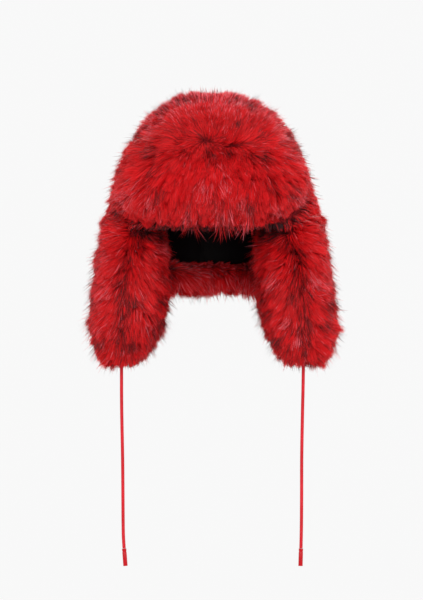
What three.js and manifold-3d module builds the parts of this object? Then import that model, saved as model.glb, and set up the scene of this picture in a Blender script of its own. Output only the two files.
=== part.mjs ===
// A faux-fur trapper hat as it is worn: a lined crown, a turned-up front flap, two hanging ear
// flaps joined round the nape, and a thin tie cord on each ear flap.
//
// Millimetres, +Z up, -Y to the front. The origin is the top of the lining, where the hat rests
// on the head. Each fur piece is a padded body whose pile stands out in leaning locks.

import * as THREE from 'three';
import { mergeVertices } from 'three/addons/utils/BufferGeometryUtils.js';
import Module from 'manifold-3d';

// Head space and lining
const HEAD_HALF_WIDTH = 80;
const HEAD_HALF_LENGTH = 98;
const DOME_HEIGHT = 85;
const LINING_WALL = 2.5;
const LINING_COLUMNS = 28;
const DOME_ROWS = 6;
const APRON_Z = -167;
const APRON_FROM = THREE.MathUtils.degToRad(118);
const APRON_FULL = THREE.MathUtils.degToRad(130);

// Crown
const CROWN_RIM_Z = -122;
const CROWN_COLUMNS = 56;
const CROWN_TOP_Z = 24;
const PRESSED_FUR = 14;
const ROOM_BELOW_HEM = 30;

// Pile
const LOCK_HEIGHT = 10;
const LOCK_LEAN = 12;
const CROWN_HEM_LEAN = 7;
const SHORTEST_LOCK = 0.75;
const LONGEST_LOCK = 1.1;
const LEAST_LOCK = 0.05;
const SIDEWAYS_STIR = 0.3;
const UPRIGHT_STIR = 0.3;
const ZIGZAG = 0.22;

// Cords
const CORD_RADIUS = 1.9;
const CORD_SIDES = 8;
const CORD_STEPS = 27;
const SOCKET_DEPTH = 60;
const TIP_RADIUS = 2.5;
const TIP_LENGTH = 20;
const TIP_CHAMFER = 0.5;
const TIP_SIDES = 16;

// The clearance that neighbouring pieces keep
const GAP = 0.35;

// The crown's fur below its locks, from the top to the hem
const CROWN_SECTIONS = [
  { z: 23.5, halfWidth: 12, halfLength: 14 },
  { z: 20, halfWidth: 32, halfLength: 37 },
  { z: 11, halfWidth: 54, halfLength: 64 },
  { z: -4, halfWidth: 72, halfLength: 86 },
  { z: -21, halfWidth: 84, halfLength: 101 },
  { z: -39, halfWidth: 93, halfLength: 112 },
  { z: -57, halfWidth: 100, halfLength: 121 },
  { z: -75, halfWidth: 106.5, halfLength: 127 },
  { z: -92, halfWidth: 112, halfLength: 131 },
  { z: -108, halfWidth: 116.5, halfLength: 134 },
  { z: CROWN_RIM_Z, halfWidth: 120, halfLength: 136 },
];

// The front flap's level sections: a half ellipse from one end round the front to the other
const FRONT_FLAP_SECTIONS = [
  { z: 9.5, halfWidth: 33, front: -86, ends: -56 },
  { z: -1, halfWidth: 56, front: -105, ends: -44 },
  { z: -16, halfWidth: 76, front: -120, ends: -38 },
  { z: -33, halfWidth: 89, front: -131, ends: -38 },
  { z: -50, halfWidth: 98, front: -137, ends: -40 },
  { z: -67, halfWidth: 105, front: -141, ends: -44 },
  { z: -84, halfWidth: 107, front: -143, ends: -50 },
  { z: -98, halfWidth: 101, front: -143, ends: -58 },
  { z: -109, halfWidth: 85, front: -141, ends: -70 },
  { z: -117, halfWidth: 58, front: -136, ends: -88 },
];
const FRONT_FLAP_TOP = { z: 14, y: -70 };
const FRONT_FLAP_BOTTOM = { z: -121, y: -118 };
const FRONT_FLAP_BACK_DEPTH = 18;
const FRONT_FLAP_COLUMNS = 34;
const FRONT_FLAP_BACK_COLUMNS = 10;
const FRONT_FLAP_WHORL_Z = -28;
const FRONT_FLAP_WHORL_RADIUS = 40;

// The place on the crown that the front flap covers: an arch seen from the front, and its ends
const COVERED_PLACE = { halfWidth: 125, middleZ: -58, above: 70, below: 120 };
const COVERED_ENDS = { y: -28, hemY: -66, fromZ: -70, fade: 60 };

// Where the fur is pressed and where its locks stand free, from 0 at the middle of that place
// to 1 at its edge
const PRESSED = { fully: 0.78, until: 0.98 };
const STANDING = { from: 1.08, fully: 1.18 };

// The ear flap's level sections: how far it lies from the middle, and from front to back
const EAR_FLAP_SECTIONS = [
  { z: CROWN_RIM_Z - GAP, inner: 70, outer: 118, front: -64, back: 50 },
  { z: -132, inner: 60.5, outer: 121, front: -72, back: 56 },
  { z: -151, inner: 58, outer: 125, front: -78, back: 61 },
  { z: -171, inner: 58.5, outer: 128, front: -80, back: 62 },
  { z: -191, inner: 60, outer: 130.5, front: -79, back: 60 },
  { z: -211, inner: 62, outer: 132, front: -75, back: 54 },
  { z: -230, inner: 65.5, outer: 132.5, front: -68, back: 46 },
  { z: -247, inner: 72, outer: 130, front: -57, back: 36 },
  { z: -261, inner: 81, outer: 124, front: -42, back: 22 },
  { z: -271, inner: 92, outer: 115, front: -25, back: 7 },
];
const EAR_FLAP_TIP = { x: 104.5, y: -8, z: -275 };
const EAR_FLAP_COLUMNS = 30;
const EAR_FLAP_FALL = 190;
const EAR_FLAP_FULLNESS = 2.4;
// The pile lies flat where the nape flap meets the ear flap
const EAR_FLAP_JOIN = { fromY: 27, fullY: 37, fromZ: -208, fullZ: -198 };

// The nape flap's upright section: how far each point lies outside the head
const NAPE_SECTION = [
  { z: CROWN_RIM_Z - GAP, reach: 38, pile: true },
  { z: -137, reach: 38.5, pile: true },
  { z: -152, reach: 38, pile: true },
  { z: -166, reach: 35, pile: true },
  { z: -177, reach: 28, pile: true },
  { z: -183, reach: 16, pile: true },
  { z: -183, reach: 3, pile: true },
  { z: -177, reach: -6, pile: false },
  { z: APRON_Z - GAP, reach: -3, pile: false },
  { z: APRON_Z, reach: LINING_WALL + GAP, pile: false },
  { z: -145, reach: LINING_WALL + GAP, pile: false },
  { z: CROWN_RIM_Z - GAP, reach: LINING_WALL + GAP, pile: false },
];
const NAPE_HALF_SPREAD = THREE.MathUtils.degToRad(72);
const NAPE_PILE_SPREAD = THREE.MathUtils.degToRad(56);
const NAPE_STEPS = 20;

// The cords' routes, from the sewn end inside each ear flap's tip down to the crimped tip
const CORD_ROUTES = {
  left: [
    [-104.6, -8, -258], [-104.8, -8, -268], [-105, -8, -280], [-105, -8.1, -295],
    [-105, -8.2, -310], [-104.9, -8.3, -325], [-104.7, -8.4, -340], [-104.4, -8.4, -355],
    [-104.1, -8.4, -370], [-103.8, -8.3, -385], [-103.6, -8.2, -400], [-103.5, -8.1, -415],
    [-103.4, -8, -430], [-103.3, -8, -445], [-103.2, -8, -460], [-103, -8, -475],
    [-102.6, -8, -484], [-102, -8, -492],
  ],
  right: [
    [104.2, -8, -258], [104, -8, -268], [103.8, -8, -280], [103.6, -8.1, -295],
    [103.4, -8.2, -310], [103, -8.3, -325], [102.7, -8.4, -340], [102.4, -8.4, -355],
    [102.1, -8.4, -370], [101.9, -8.3, -385], [101.8, -8.2, -400], [101.8, -8.1, -415],
    [101.8, -8, -430], [101.7, -8, -445], [101.6, -8, -460], [101.4, -8, -475],
    [101.2, -8, -484], [101, -8, -492],
  ],
};

const material = (color, roughness) => new THREE.MeshStandardMaterial({
  color, roughness, metalness: 0, flatShading: true,
});
const FUR = material('#c3121f', 0.85);
const LINING = material('#120a0c', 0.7);
const CORD = material('#cf2430', 0.55);
const TIP = material('#c01426', 0.35);

const wasm = await Module();
wasm.setup();

// A fixed spread of values from 0 to 1, so that no two neighbouring locks are alike
const variation = (ring, column) => ((ring * 7 + column * 11 + ring * column * 3) % 13) / 12;

function smoothstep(from, to, value) {
  const t = THREE.MathUtils.clamp((value - from) / (to - from), 0, 1);
  return t * t * (3 - 2 * t);
}

// A closed body through rings of points, each ring counter-clockwise about the way that the
// rings run from the first pole to the last. lockAt gives the way from the middle of a cell to
// the tip of its lock, or null where the surface is plain.
function loft(rings, firstPole, lastPole, lockAt = () => null) {
  const positions = [];
  const index = [];
  const add = (point) => {
    positions.push(point.x, point.y, point.z);
    return positions.length / 3 - 1;
  };
  const grid = rings.map((ring) => ring.map(add));
  const columns = rings[0].length;
  const top = add(firstPole);
  const bottom = add(lastPole);
  for (let i = 0; i < columns; i += 1) {
    const next = (i + 1) % columns;
    index.push(top, grid[0][i], grid[0][next]);
    const last = grid[rings.length - 1];
    index.push(bottom, last[next], last[i]);
  }
  for (let j = 0; j + 1 < rings.length; j += 1) {
    for (let i = 0; i < columns; i += 1) {
      const next = (i + 1) % columns;
      const loop = [grid[j][i], grid[j + 1][i], grid[j + 1][next], grid[j][next]];
      const corners = [rings[j][i], rings[j + 1][i], rings[j + 1][next], rings[j][next]];
      const centre = corners.reduce((sum, p) => sum.add(p), new THREE.Vector3()).divideScalar(4);
      const down = corners[2].clone().sub(corners[0]);
      const across = corners[3].clone().sub(corners[1]);
      const normal = down.cross(across).normalize();
      const lock = lockAt({ ring: j, column: i, centre, normal });
      if (lock === null) {
        index.push(loop[0], loop[1], loop[2], loop[0], loop[2], loop[3]);
      } else {
        const tip = add(centre.add(lock));
        for (let k = 0; k < loop.length; k += 1) {
          index.push(loop[k], loop[(k + 1) % loop.length], tip);
        }
      }
    }
  }
  const geometry = new THREE.BufferGeometry();
  geometry.setAttribute('position', new THREE.Float32BufferAttribute(positions, 3));
  geometry.setIndex(index);
  return geometry;
}

// Rings whose points are moved a little along the surface, so that the locks don't lie in tiers.
// The first and last rings keep their height.
function stirred(rings) {
  return rings.map((ring, j) => ring.map((point, i) => {
    const sideways = (variation(j + 5, i) - 0.5) * SIDEWAYS_STIR;
    const upright = (variation(i, j + 3) - 0.5) * UPRIGHT_STIR + (i % 2 === 0 ? ZIGZAG : -ZIGZAG);
    const beside = ring[(i + (sideways > 0 ? 1 : ring.length - 1)) % ring.length];
    const moved = point.clone().lerp(beside, Math.abs(sideways));
    const ends = j === 0 || j === rings.length - 1;
    const beyond = rings[Math.min(rings.length - 1, Math.max(0, j + Math.sign(upright)))][i];
    return ends ? moved : moved.lerp(beyond, Math.abs(upright));
  }));
}

// The way from a cell's middle to its lock's tip: out along the normal and along the fur's flow
function lockAlong(cell, flow, weight = 1, lean = LOCK_LEAN) {
  if (weight < LEAST_LOCK) return null;
  const chance = variation(cell.ring, cell.column);
  const size = THREE.MathUtils.lerp(SHORTEST_LOCK, LONGEST_LOCK, chance) * weight;
  const along = flow.clone().addScaledVector(cell.normal, -flow.dot(cell.normal));
  if (along.lengthSq() > 0) along.normalize();
  return along.multiplyScalar(lean).addScaledVector(cell.normal, LOCK_HEIGHT).multiplyScalar(size);
}

const toManifold = (geometry) => new wasm.Manifold(new wasm.Mesh({
  numProp: 3,
  vertProperties: geometry.getAttribute('position').array,
  triVerts: Uint32Array.from(geometry.index.array),
}));

function fromManifold(solid) {
  const mesh = solid.getMesh();
  const geometry = new THREE.BufferGeometry();
  geometry.setAttribute('position', new THREE.BufferAttribute(mesh.vertProperties, 3));
  geometry.setIndex(new THREE.BufferAttribute(mesh.triVerts, 1));
  return geometry;
}

// A piece after its neighbours' room is cut from it
function cutBy(geometry, ...cutters) {
  const start = toManifold(geometry);
  return fromManifold(cutters.reduce((solid, cutter) => solid.subtract(toManifold(cutter)), start));
}

function named(name, geometry, look) {
  const mesh = new THREE.Mesh(geometry, look);
  mesh.name = name;
  return mesh;
}

// A level ring about the head, `reach` outside it; azimuth 0 is the front, 90 degrees the right
const aroundHead = (azimuth, reach, z) => new THREE.Vector3(
  (HEAD_HALF_WIDTH + reach) * Math.sin(azimuth),
  -(HEAD_HALF_LENGTH + reach) * Math.cos(azimuth),
  z,
);

const azimuths = (columns, shift = 0) => Array.from(
  { length: columns },
  (_, i) => ((i + shift) / columns) * 2 * Math.PI,
);

// The rounded top of the head, grown by `reach`, as level rings from the top down
function domeRings(columns, reach, rimAt) {
  const rings = [];
  for (let row = 1; row <= DOME_ROWS; row += 1) {
    const slope = (row / DOME_ROWS) * (Math.PI / 2);
    const z = -DOME_HEIGHT + (DOME_HEIGHT + reach) * Math.cos(slope);
    rings.push(azimuths(columns).map((azimuth) => {
      const point = aroundHead(azimuth, reach, z);
      point.x *= Math.sin(slope);
      point.y *= Math.sin(slope);
      return point;
    }));
  }
  rings.push(azimuths(columns).map((azimuth) => aroundHead(azimuth, reach, rimAt(azimuth))));
  return rings;
}

// The lining's lower edge drops at the back to the apron
function liningEdge(azimuth) {
  const fromFront = Math.abs(azimuth > Math.PI ? azimuth - 2 * Math.PI : azimuth);
  const drop = smoothstep(APRON_FROM, APRON_FULL, fromFront);
  return THREE.MathUtils.lerp(CROWN_RIM_Z, APRON_Z, drop);
}

function crownLining() {
  const outside = domeRings(LINING_COLUMNS, LINING_WALL, liningEdge);
  const inside = domeRings(LINING_COLUMNS, 0, liningEdge).reverse();
  const top = new THREE.Vector3(0, 0, LINING_WALL);
  return loft([...outside, ...inside], top, new THREE.Vector3());
}

// Where a place on the crown lies below the front flap: 0 at its middle, 1 at its edge
function placeBelowFlap(x, y, z) {
  const { halfWidth, middleZ, above, below } = COVERED_PLACE;
  const height = (z - middleZ) / (z > middleZ ? above : below);
  const toHem = smoothstep(COVERED_ENDS.fromZ, CROWN_RIM_Z, z);
  const endY = THREE.MathUtils.lerp(COVERED_ENDS.y, COVERED_ENDS.hemY, toHem);
  return Math.max(Math.hypot(x / halfWidth, height), 1 + (y - endY) / COVERED_ENDS.fade);
}

// The crown's outer surface at a section, pressed in below the front flap
function crownPoint(azimuth, section, grow) {
  const { z, halfWidth, halfLength } = section;
  const x = halfWidth * Math.sin(azimuth);
  const y = -halfLength * Math.cos(azimuth);
  const reach = LINING_WALL + PRESSED_FUR;
  const rise = Math.max(0, z + DOME_HEIGHT) / (DOME_HEIGHT + reach);
  const round = Math.sqrt(Math.max(0, 1 - rise * rise));
  const pressed = aroundHead(azimuth, reach, z);
  const press = 1 - smoothstep(PRESSED.fully, PRESSED.until, placeBelowFlap(x, y, z));
  const growX = grow * Math.sin(azimuth);
  const growY = -grow * Math.cos(azimuth);
  return new THREE.Vector3(
    THREE.MathUtils.lerp(x, pressed.x * round, press) + growX,
    THREE.MathUtils.lerp(y, pressed.y * round, press) + growY,
    z === CROWN_RIM_Z ? z : z + grow,
  );
}

const crownRings = (grow) => stirred(CROWN_SECTIONS.map((section, row) => (
  azimuths(CROWN_COLUMNS, (row % 2) / 2).map((azimuth) => crownPoint(azimuth, section, grow))
)));

function crownFur() {
  const outside = crownRings(0);
  const rim = () => CROWN_RIM_Z;
  const inside = domeRings(CROWN_COLUMNS, LINING_WALL + GAP, rim).reverse();
  const hem = CROWN_SECTIONS.length - 2;
  const lockAt = (cell) => {
    if (cell.ring > hem) return null;
    const { x, y, z } = cell.centre;
    const flow = new THREE.Vector3(x, y, -60);
    const free = smoothstep(STANDING.from, STANDING.fully, placeBelowFlap(x, y, z));
    return lockAlong(cell, flow, free, cell.ring === hem ? CROWN_HEM_LEAN : LOCK_LEAN);
  };
  const top = new THREE.Vector3(0, 0, CROWN_TOP_Z);
  const underside = new THREE.Vector3(0, 0, LINING_WALL + GAP);
  return loft([...outside, ...inside], top, underside, lockAt);
}

// The crown's room in the front flap, carried on down past the hem
function crownRoom() {
  const rings = crownRings(GAP);
  const below = CROWN_RIM_Z - ROOM_BELOW_HEM;
  rings.push(rings[rings.length - 1].map((point) => point.clone().setZ(below)));
  const top = new THREE.Vector3(0, 0, CROWN_TOP_Z + GAP);
  return loft(rings, top, new THREE.Vector3(0, 0, below));
}

// One level section of the front flap: round the front from end to end, then back inside
function frontFlapRing({ z, halfWidth, front, ends }, shift) {
  const ring = [];
  const point = (angle, depth) => ring.push(new THREE.Vector3(
    halfWidth * Math.cos(angle),
    ends + depth * Math.sin(angle),
    z,
  ));
  for (let i = 0; i < FRONT_FLAP_COLUMNS; i += 1) {
    point(Math.PI * (1 + (i + shift) / FRONT_FLAP_COLUMNS), ends - front);
  }
  for (let i = 0; i < FRONT_FLAP_BACK_COLUMNS; i += 1) {
    point(Math.PI * (i + shift) / FRONT_FLAP_BACK_COLUMNS, FRONT_FLAP_BACK_DEPTH);
  }
  return ring;
}

function frontFlapFur() {
  const rings = stirred(FRONT_FLAP_SECTIONS.map((section, row) => (
    frontFlapRing(section, (row % 2) / 2)
  )));
  const lockAt = (cell) => {
    if (cell.column >= FRONT_FLAP_COLUMNS - 1) return null;
    const flow = new THREE.Vector3(cell.centre.x, 0, cell.centre.z - FRONT_FLAP_WHORL_Z);
    const spread = Math.min(1, flow.length() / FRONT_FLAP_WHORL_RADIUS);
    return lockAlong(cell, flow, 1, LOCK_LEAN * spread);
  };
  const top = new THREE.Vector3(0, FRONT_FLAP_TOP.y, FRONT_FLAP_TOP.z);
  const bottom = new THREE.Vector3(0, FRONT_FLAP_BOTTOM.y, FRONT_FLAP_BOTTOM.z);
  return loft(rings, top, bottom, lockAt);
}

// One level section of an ear flap: a full oval between its four sides
function earFlapRing({ z, inner, outer, front, back }, side, shift, grow) {
  const middle = { x: (inner + outer) / 2, y: (front + back) / 2 };
  const half = { x: (outer - inner) / 2 + grow, y: (back - front) / 2 + grow };
  const power = 2 / EAR_FLAP_FULLNESS;
  return azimuths(EAR_FLAP_COLUMNS, shift).map((angle) => {
    const across = Math.sign(Math.cos(angle)) * Math.abs(Math.cos(angle)) ** power;
    const along = Math.sign(Math.sin(angle)) * Math.abs(Math.sin(angle)) ** power;
    return new THREE.Vector3(side * middle.x + half.x * across, middle.y + half.y * along, z);
  });
}

function earFlapBody(side, grow, lockAt) {
  const rings = stirred(EAR_FLAP_SECTIONS.map((section, row) => (
    earFlapRing(section, side, (row % 2) / 2, grow)
  )));
  const first = EAR_FLAP_SECTIONS[0];
  const top = new THREE.Vector3(side * (first.inner + first.outer) / 2, 0, first.z);
  if (grow > 0) {
    rings.unshift(rings[0].map((point) => point.clone().setZ(CROWN_RIM_Z + 1)));
    top.z = CROWN_RIM_Z + 1;
  }
  const tip = new THREE.Vector3(side * EAR_FLAP_TIP.x, EAR_FLAP_TIP.y, EAR_FLAP_TIP.z - grow);
  return loft(rings, top, tip, lockAt);
}

// The pile on an ear flap falls down and away from the seam; it lies flat against the nape flap
function earFlapLock(side, cell) {
  const { x, y, z } = cell.centre;
  const { fromY, fullY, fromZ, fullZ } = EAR_FLAP_JOIN;
  const joined = smoothstep(fromY, fullY, y) * smoothstep(fromZ, fullZ, z);
  const underCrown = side * x < HEAD_HALF_WIDTH + LINING_WALL && cell.ring === 0;
  const flow = new THREE.Vector3(x - side * EAR_FLAP_TIP.x, y - EAR_FLAP_TIP.y, -EAR_FLAP_FALL);
  return lockAlong(cell, flow, underCrown ? 0 : 1 - joined);
}

function cordSocket(side) {
  const [x, y, z] = CORD_ROUTES[side][0];
  const radius = CORD_RADIUS + GAP;
  const cutter = new THREE.CylinderGeometry(radius, radius, SOCKET_DEPTH, CORD_SIDES);
  cutter.rotateX(Math.PI / 2);
  cutter.translate(x, y, z + GAP - SOCKET_DEPTH / 2);
  return cutter;
}

// A three.js solid with its seams merged by position, and the flat triangles at its poles gone
function welded(geometry) {
  geometry.deleteAttribute('normal');
  geometry.deleteAttribute('uv');
  const merged = mergeVertices(geometry);
  const triangles = [];
  for (let i = 0; i < merged.index.count; i += 3) {
    const [a, b, c] = merged.index.array.slice(i, i + 3);
    if (a !== b && b !== c && c !== a) triangles.push(a, b, c);
  }
  merged.setIndex(triangles);
  return merged;
}

function earFlap(side) {
  const sign = side === 'left' ? -1 : 1;
  const body = earFlapBody(sign, 0, (cell) => earFlapLock(sign, cell));
  return cutBy(body, welded(cordSocket(side)));
}

const earFlapRoom = (sign) => earFlapBody(sign, GAP);

function napeFlap() {
  const rings = [];
  for (let step = 0; step <= NAPE_STEPS; step += 1) {
    const azimuth = Math.PI + NAPE_HALF_SPREAD * (1 - (2 * step) / NAPE_STEPS);
    rings.push(NAPE_SECTION.map(({ z, reach }) => aroundHead(azimuth, reach, z)));
  }
  const endPole = (ring) => ring
    .reduce((sum, point) => sum.add(point), new THREE.Vector3())
    .divideScalar(ring.length);
  const lockAt = (cell) => {
    if (!NAPE_SECTION[cell.column].pile) return null;
    const azimuth = Math.atan2(cell.centre.x, cell.centre.y);
    if (Math.abs(azimuth) > NAPE_PILE_SPREAD) return null;
    return lockAlong(cell, new THREE.Vector3(0, 0, -1), 0.9);
  };
  const body = loft(rings, endPole(rings[0]), endPole(rings[NAPE_STEPS]), lockAt);
  return cutBy(body, earFlapRoom(-1), earFlapRoom(1));
}

function tieCord(route) {
  const path = new THREE.CatmullRomCurve3(route.map((point) => new THREE.Vector3(...point)));
  const section = new THREE.Shape();
  for (let i = 0; i < CORD_SIDES; i += 1) {
    const angle = (i / CORD_SIDES) * 2 * Math.PI;
    const corner = [CORD_RADIUS * Math.cos(angle), CORD_RADIUS * Math.sin(angle)];
    if (i === 0) section.moveTo(...corner);
    else section.lineTo(...corner);
  }
  section.closePath();
  return welded(new THREE.ExtrudeGeometry(section, {
    steps: CORD_STEPS, extrudePath: path, curveSegments: 1,
  }));
}

// The crimped tip hangs on in the way that the cord's end points
function cordTip(route) {
  const end = new THREE.Vector3(...route[route.length - 1]);
  const before = new THREE.Vector3(...route[route.length - 2]);
  const way = end.clone().sub(before).normalize();
  const profile = [
    [0, 0], [TIP_RADIUS - TIP_CHAMFER, 0], [TIP_RADIUS, TIP_CHAMFER],
    [TIP_RADIUS, TIP_LENGTH - TIP_CHAMFER], [TIP_RADIUS - TIP_CHAMFER, TIP_LENGTH], [0, TIP_LENGTH],
  ].map(([radius, height]) => new THREE.Vector2(radius, height));
  const tip = welded(new THREE.LatheGeometry(profile, TIP_SIDES));
  tip.applyQuaternion(new THREE.Quaternion().setFromUnitVectors(new THREE.Vector3(0, 1, 0), way));
  const start = end.addScaledVector(way, GAP);
  return tip.translate(start.x, start.y, start.z);
}

const hat = new THREE.Group();
hat.add(named('crown_lining', crownLining(), LINING));
hat.add(named('crown_fur', crownFur(), FUR));
hat.add(named('front_flap', cutBy(frontFlapFur(), crownRoom(), earFlapRoom(-1), earFlapRoom(1)), FUR));
hat.add(named('nape_flap', napeFlap(), FUR));
for (const side of ['left', 'right']) {
  hat.add(named(`ear_flap_${side}`, earFlap(side), FUR));
  hat.add(named(`tie_cord_${side}`, tieCord(CORD_ROUTES[side]), CORD));
  hat.add(named(`cord_tip_${side}`, cordTip(CORD_ROUTES[side]), TIP));
}

export default hat;
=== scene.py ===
# %% [markdown]
# # A fluffy trapper hat
# The hat is a lined crown with a turned-up front flap, two ear flaps, a nape flap and two thin tie cords,
# all in deep red faux fur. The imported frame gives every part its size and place, and this lesson gives each
# part its look. Fur is the whole character of this hat, so most of the cells are about how a pile is combed,
# gathered and coloured.

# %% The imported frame
import math
import bpy
import numpy as np
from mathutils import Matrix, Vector
from mathutils.bvhtree import BVHTree
from mathutils.kdtree import KDTree


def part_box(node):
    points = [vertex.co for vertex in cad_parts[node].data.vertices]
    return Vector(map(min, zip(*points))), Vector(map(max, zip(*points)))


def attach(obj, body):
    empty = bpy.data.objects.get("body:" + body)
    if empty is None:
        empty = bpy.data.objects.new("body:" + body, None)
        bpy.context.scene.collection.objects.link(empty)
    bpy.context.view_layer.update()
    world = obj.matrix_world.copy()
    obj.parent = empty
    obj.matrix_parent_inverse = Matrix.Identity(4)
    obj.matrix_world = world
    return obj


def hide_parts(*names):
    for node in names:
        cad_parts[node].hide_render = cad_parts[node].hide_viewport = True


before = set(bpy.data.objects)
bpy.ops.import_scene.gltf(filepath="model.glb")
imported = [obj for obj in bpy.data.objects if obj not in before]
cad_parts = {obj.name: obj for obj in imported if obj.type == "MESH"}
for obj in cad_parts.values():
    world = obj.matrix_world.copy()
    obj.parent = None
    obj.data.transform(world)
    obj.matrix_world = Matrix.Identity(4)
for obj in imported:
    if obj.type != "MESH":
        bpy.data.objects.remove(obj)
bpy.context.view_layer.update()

MM = 0.001
print("nodes in the frame:", ", ".join(sorted(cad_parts)))

# %% [markdown]
# ## Camera
# The picture is taken level with the hat, straight from the front and from far off, so that the flaps hardly
# grow towards the lens. A long lens five metres away keeps that flat look. The long side of the picture
# shows 690 mm.

# %% Camera
CAMERA_DISTANCE = 5.0
SEEN_HEIGHT = 0.690
SENSOR = 36
LOOK_AT = (-0.0017, 0.0, -0.2070)

bpy.ops.object.camera_add(
    location=(LOOK_AT[0], -CAMERA_DISTANCE, LOOK_AT[2]), rotation=(math.radians(90), 0, 0))
camera = bpy.context.object
camera.name = "front_camera"
camera.data.sensor_width = SENSOR
camera.data.lens = SENSOR * CAMERA_DISTANCE / SEEN_HEIGHT
camera.data.clip_end = 60
bpy.context.scene.camera = camera
print("lens", round(camera.data.lens, 1), "mm")

# %% [markdown]
# ## Tie cords
# Each cord is a thin round tube, sewn into the tip of an ear flap. It hangs almost straight, with the slight
# bow that it keeps from being folded. A curve through the points of its route, given a round bevel, is the
# plain way to make a cord; as a mesh it also carries a map that runs along it, which the fine rib of the
# material follows. The first points are inside the flap.

# %% Cord routes
CORD_DIAMETER = 0.0038
# The points of the routes are in mm, from the sewn end down to the tip.
LEFT_ROUTE = [
    (-104.6, -8, -258), (-104.8, -8, -268), (-105, -8, -280), (-105, -8.1, -295), (-105, -8.2, -310),
    (-104.9, -8.3, -325), (-104.7, -8.4, -340), (-104.4, -8.4, -355), (-104.1, -8.4, -370),
    (-103.8, -8.3, -385), (-103.6, -8.2, -400), (-103.5, -8.1, -415), (-103.4, -8, -430),
    (-103.3, -8, -445), (-103.2, -8, -460), (-103, -8, -475), (-102.6, -8, -484), (-102, -8, -492)]
RIGHT_ROUTE = [
    (104.2, -8, -258), (104, -8, -268), (103.8, -8, -280), (103.6, -8.1, -295), (103.4, -8.2, -310),
    (103, -8.3, -325), (102.7, -8.4, -340), (102.4, -8.4, -355), (102.1, -8.4, -370),
    (101.9, -8.3, -385), (101.8, -8.2, -400), (101.8, -8.1, -415), (101.8, -8, -430),
    (101.7, -8, -445), (101.6, -8, -460), (101.4, -8, -475), (101.2, -8, -484), (101, -8, -492)]
ROUTES = {"left": LEFT_ROUTE, "right": RIGHT_ROUTE}


def route_length(points):
    """The length of a line through points."""
    return sum((Vector(b) - Vector(a)).length for a, b in zip(points, points[1:]))


def deselect_all():
    """Leaves object mode with nothing selected, so that the next operator acts on the new piece alone."""
    if bpy.context.object and bpy.context.object.mode != "OBJECT":
        bpy.ops.object.mode_set(mode="OBJECT")
    bpy.ops.object.select_all(action="DESELECT")


def select_where(piece, kind, test):
    """Selects the points, edges or faces of a piece that pass a test, and leaves it in edit mode."""
    bpy.ops.object.mode_set(mode="EDIT")
    bpy.ops.mesh.select_all(action="DESELECT")
    bpy.ops.mesh.select_mode(type=kind)
    bpy.ops.object.mode_set(mode="OBJECT")
    mesh = piece.data
    for element in {"VERT": mesh.vertices, "EDGE": mesh.edges, "FACE": mesh.polygons}[kind]:
        element.select = test(element)
    bpy.ops.object.mode_set(mode="EDIT")


for side, route in ROUTES.items():
    print(side, "cord", round(route_length(route), 1), "mm")

# %% Cords as tubes along their routes
cords = {}
for side, route in ROUTES.items():
    deselect_all()
    bpy.ops.curve.primitive_nurbs_path_add(location=(0, 0, 0))
    cord = bpy.context.object
    cord.name = f"tie_cord_{side}_round"
    line = cord.data
    line.splines.remove(line.splines[0])
    spline = line.splines.new("NURBS")
    spline.points.add(len(route) - 1)
    for point, place in zip(spline.points, route):
        point.co = (*[v * MM for v in place], 1)
    spline.order_u = 3
    spline.use_endpoint_u = True
    spline.resolution_u = 4
    line.bevel_depth = CORD_DIAMETER / 2
    line.bevel_resolution = 4
    line.use_fill_caps = True
    bpy.ops.object.convert(target="MESH")
    cord = bpy.context.object
    bpy.ops.object.mode_set(mode="EDIT")
    bpy.ops.mesh.select_all(action="SELECT")
    bpy.ops.mesh.remove_doubles(threshold=1e-6)
    bpy.ops.mesh.normals_make_consistent(inside=False)
    bpy.ops.object.mode_set(mode="OBJECT")
    bpy.ops.object.shade_smooth_by_angle(angle=math.radians(50))
    cords[side] = cord
    print(cord.name, len(cord.data.polygons), "faces")

# %% [markdown]
# ## Cord tips
# The ends are crimped in smooth red tubes, a little wider than the cord. A tip has a rolled upper rim that
# the cord goes into, a shallow crimp below it, and a clean cut end. A cylinder of the tip's length is shaped
# by hand: insets make the rims, bisecting adds three rings of which the middle one is drawn in, and a bevel
# rounds the rims so that they catch the light.

# %% Cord tips
TIP_RADIUS = 0.0025
TIP_LENGTH = 0.020
RIM_WALL = 0.0005
MOUTH_WALL = 0.0002
MOUTH_DEPTH = 0.0006
CRIMP_RINGS = [0.0078, 0.0066, 0.0054]
CRIMP_SHARE = 0.88
RIM_ROUNDING = 0.00022

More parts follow.
